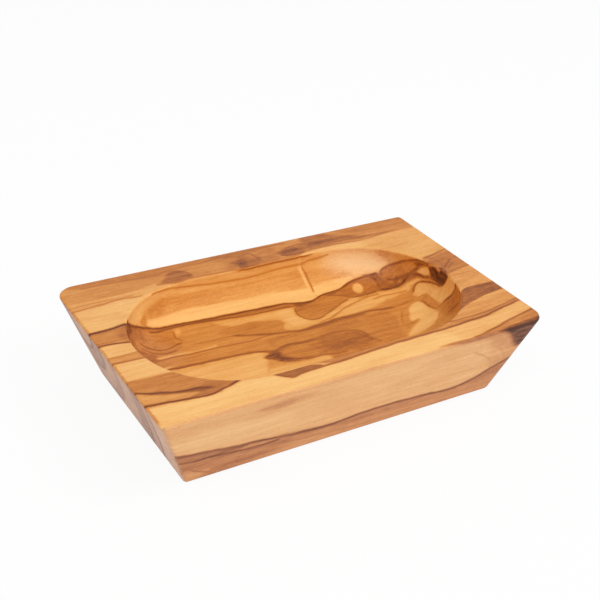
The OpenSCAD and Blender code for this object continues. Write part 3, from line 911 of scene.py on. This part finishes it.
def math_node(tree, operation, *values):
    """Output of a math node; its inputs are numbers or the outputs of other nodes."""
    node = tree.nodes.new("ShaderNodeMath")
    node.operation = operation
    for socket, value in zip(node.inputs, values):
        if isinstance(value, (int, float)):
            socket.default_value = value
        else:
            tree.links.new(value, socket)
    return node.outputs[0]


def wood_material():
    """Oiled olive wood: a ramp of browns over the drawn figure, fibre and pore noise along the grain."""
    material = bpy.data.materials.new("olive_wood")
    material.use_nodes = True
    tree = material.node_tree
    nodes, links = tree.nodes, tree.links
    shader = nodes["Principled BSDF"]

    def plus_share(base, share, weight):
        return math_node(tree, "MULTIPLY_ADD", share, weight, base)

    def attribute(name, output):
        node = nodes.new("ShaderNodeAttribute")
        node.attribute_name = name
        return node.outputs[output]

    place = nodes.new("ShaderNodeTexCoord").outputs["Object"]

    def grain_noise(name, along, across, detail, seed):
        """Noise about zero, drawn out along the grain."""
        stretch = nodes.new("ShaderNodeMapping")
        stretch.label = name
        stretch.inputs["Location"].default_value = [seed * spread for spread in SEED_SPREAD]
        stretch.inputs["Scale"].default_value = [1 / (size * MM) for size in (along, across, across)]
        links.new(place, stretch.inputs["Vector"])
        noise = nodes.new("ShaderNodeTexNoise")
        noise.inputs["Scale"].default_value = 1.0
        noise.inputs["Detail"].default_value = detail
        links.new(stretch.outputs[0], noise.inputs["Vector"])
        return math_node(tree, "SUBTRACT", noise.outputs["Fac"], 0.5)

    noise = {name: grain_noise(name, *sizes) for name, *sizes in GRAIN_NOISES}
    drawn = attribute("figure_tone", "Fac")
    tone = plus_share(drawn, math_node(tree, "MULTIPLY", noise["fleck"], drawn), FLECK_WEIGHT)
    for name, weight in NOISE_WEIGHTS:
        tone = plus_share(tone, noise[name], weight)
    for name in LINE_ATTRIBUTES:
        split = nodes.new("ShaderNodeSeparateXYZ")
        links.new(attribute(name, "Vector"), split.inputs[0])
        off, line_tone, strength = split.outputs
        off = plus_share(off, noise["wander"], LINE_WANDER)
        fall = math_node(tree, "MULTIPLY", math_node(tree, "MULTIPLY", off, off), -LINE_FALL)
        cover = math_node(tree, "MULTIPLY", math_node(tree, "POWER", math.e, fall), strength)
        uneven = plus_share(line_tone, noise["streak"], LINE_STREAK)
        tone = plus_share(tone, cover, math_node(tree, "SUBTRACT", uneven, tone))

    ramp = nodes.new("ShaderNodeValToRGB")
    elements = ramp.color_ramp.elements
    while len(elements) > 1:
        elements.remove(elements[-1])
    for i, (stop, shade) in enumerate(SHADES):
        element = elements[0] if i == 0 else elements.new(stop)
        element.position = stop
        element.color = (*shade, 1)
    links.new(tone, ramp.inputs["Fac"])

    greyed = nodes.new("ShaderNodeHueSaturation")
    links.new(ramp.outputs["Color"], greyed.inputs["Color"])
    colour_left = math_node(tree, "SUBTRACT", 1, attribute("figure_grey", "Fac"))
    links.new(colour_left, greyed.inputs["Saturation"])
    links.new(greyed.outputs["Color"], shader.inputs["Base Color"])

    links.new(plus_share(ROUGHNESS, noise["fibre"], FIBRE_ROUGHNESS), shader.inputs["Roughness"])
    shader.inputs["Specular IOR Level"].default_value = SPECULAR
    bump = nodes.new("ShaderNodeBump")
    bump.inputs["Strength"].default_value = BUMP_STRENGTH
    bump.inputs["Distance"].default_value = BUMP_DEPTH * MM
    links.new(plus_share(noise["fibre"], noise["pore"], PORE_BUMP), bump.inputs["Height"])
    links.new(bump.outputs["Normal"], shader.inputs["Normal"])
    return material


points, faces, ring_of, first_outline, outlines = dish_skin()
mesh = bpy.data.meshes.new("olive_wood_block")
mesh.from_pydata((points * MM).tolist(), [], faces)
tone, layers, grey = figure(points, ring_of, first_outline, outlines)
mesh.attributes.new("figure_tone", "FLOAT", "POINT").data.foreach_set("value", tone)
mesh.attributes.new("figure_grey", "FLOAT", "POINT").data.foreach_set("value", grey)
for name, layer in zip(LINE_ATTRIBUTES, layers):
    mesh.attributes.new(name, "FLOAT_VECTOR", "POINT").data.foreach_set("vector", layer.ravel())
mesh.update()
mesh.polygons.foreach_set("use_smooth", [True] * len(mesh.polygons))

dish = bpy.data.objects.new("dish", mesh)
bpy.context.scene.collection.objects.link(dish)
mesh.materials.append(wood_material())
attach(dish, "root")
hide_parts("dish_body")


# Floor in metres: half its side and how far it lies under the dish, against flicker where they touch
FLOOR_HALF = 3.0
FLOOR_DROP = 0.0002
FLOOR_COLOUR = (0.9, 0.9, 0.9, 1)
FLOOR_ROUGHNESS = 0.9

# Share of the floor that shows as plain white; the rest of it takes the shadow of the dish
FLOOR_GLOW = 0.92

# Strength of the world's light on the dish; to the camera and in reflections it is plain white
WORLD_LIGHT = 0.60

# Round softboxes: name, side and power in watts; place of the right one and width of both in metres
SOFTBOXES = (("left_softbox", -1, 3.4), ("right_softbox", 1, 4.2))
SOFTBOX_PLACE = (0.5, -0.55, 0.85)
SOFTBOX_SIZE = 0.8

# Camera of the photograph: place in millimetres, axes of its picture, lens and frame, range in metres
CAMERA_PLACE = (-156.974, -245.230, 194.168)
PICTURE_RIGHT = (0.85900269, -0.50873198, 0.05749914)
PICTURE_DOWN = (-0.20907056, -0.4510846, -0.8676475)
VIEW_AHEAD = (0.467337, 0.73329016, -0.49384377)
LENS = 65.56
FRAME_WIDTH = 36.0
CLIP_RANGE = (0.01, 20)


def seen_directly(tree):
    """1 for rays from the camera, reflections and clear parts, 0 for those that light the dish."""
    path = tree.nodes.new("ShaderNodeLightPath").outputs
    reflected = math_node(tree, "MAXIMUM", path["Is Glossy Ray"], path["Is Transmission Ray"])
    return math_node(tree, "MAXIMUM", path["Is Camera Ray"], reflected)


def floor_material():
    """White sweep: plain white to the camera, with the dish's soft shadow left on it."""
    material = bpy.data.materials.new("white_sweep")
    material.use_nodes = True
    tree = material.node_tree
    shader = tree.nodes["Principled BSDF"]
    shader.inputs["Base Color"].default_value = FLOOR_COLOUR
    shader.inputs["Roughness"].default_value = FLOOR_ROUGHNESS
    shader.inputs["Specular IOR Level"].default_value = 0.0
    glow = tree.nodes.new("ShaderNodeEmission")
    mix = tree.nodes.new("ShaderNodeMixShader")
    tree.links.new(math_node(tree, "MULTIPLY", seen_directly(tree), FLOOR_GLOW), mix.inputs["Fac"])
    tree.links.new(shader.outputs[0], mix.inputs[1])
    tree.links.new(glow.outputs[0], mix.inputs[2])
    tree.links.new(mix.outputs[0], tree.nodes["Material Output"].inputs["Surface"])
    return material


floor_mesh = bpy.data.meshes.new("sweep")
floor_corners = [(-1, -1), (1, -1), (1, 1), (-1, 1)]
floor_mesh.from_pydata([(FLOOR_HALF * x, FLOOR_HALF * y, 0) for x, y in floor_corners], [], [(0, 1, 2, 3)])
floor = bpy.data.objects.new("sweep", floor_mesh)
floor.location.z = -FLOOR_DROP
floor_mesh.materials.append(floor_material())
bpy.context.scene.collection.objects.link(floor)

for name, side, power in SOFTBOXES:
    light = bpy.data.lights.new(name, "AREA")
    light.shape = "DISK"
    light.size = SOFTBOX_SIZE
    light.energy = power
    softbox = bpy.data.objects.new(name, light)
    softbox.location = Vector(SOFTBOX_PLACE) * Vector((side, 1, 1))
    softbox.rotation_mode = "QUATERNION"
    softbox.rotation_quaternion = (-softbox.location).to_track_quat("-Z", "Y")
    bpy.context.scene.collection.objects.link(softbox)

world = bpy.data.worlds.new("studio")
world.use_nodes = True
backdrop = world.node_tree.nodes["Background"]
backdrop.inputs["Color"].default_value = (1, 1, 1, 1)
seen = seen_directly(world.node_tree)
level = math_node(world.node_tree, "MULTIPLY_ADD", seen, 1 - WORLD_LIGHT, WORLD_LIGHT)
world.node_tree.links.new(level, backdrop.inputs["Strength"])
bpy.context.scene.world = world

camera_data = bpy.data.cameras.new("photo_camera")
camera_data.lens = LENS
camera_data.sensor_width = FRAME_WIDTH
camera_data.clip_start, camera_data.clip_end = CLIP_RANGE
camera = bpy.data.objects.new("photo_camera", camera_data)
axes = Matrix((PICTURE_RIGHT, -Vector(PICTURE_DOWN), -Vector(VIEW_AHEAD))).transposed().to_4x4()
axes.translation = Vector(CAMERA_PLACE) * MM
camera.matrix_world = axes
bpy.context.scene.collection.objects.link(camera)
bpy.context.scene.camera = camera

bpy.context.scene.view_settings.view_transform = "Standard"
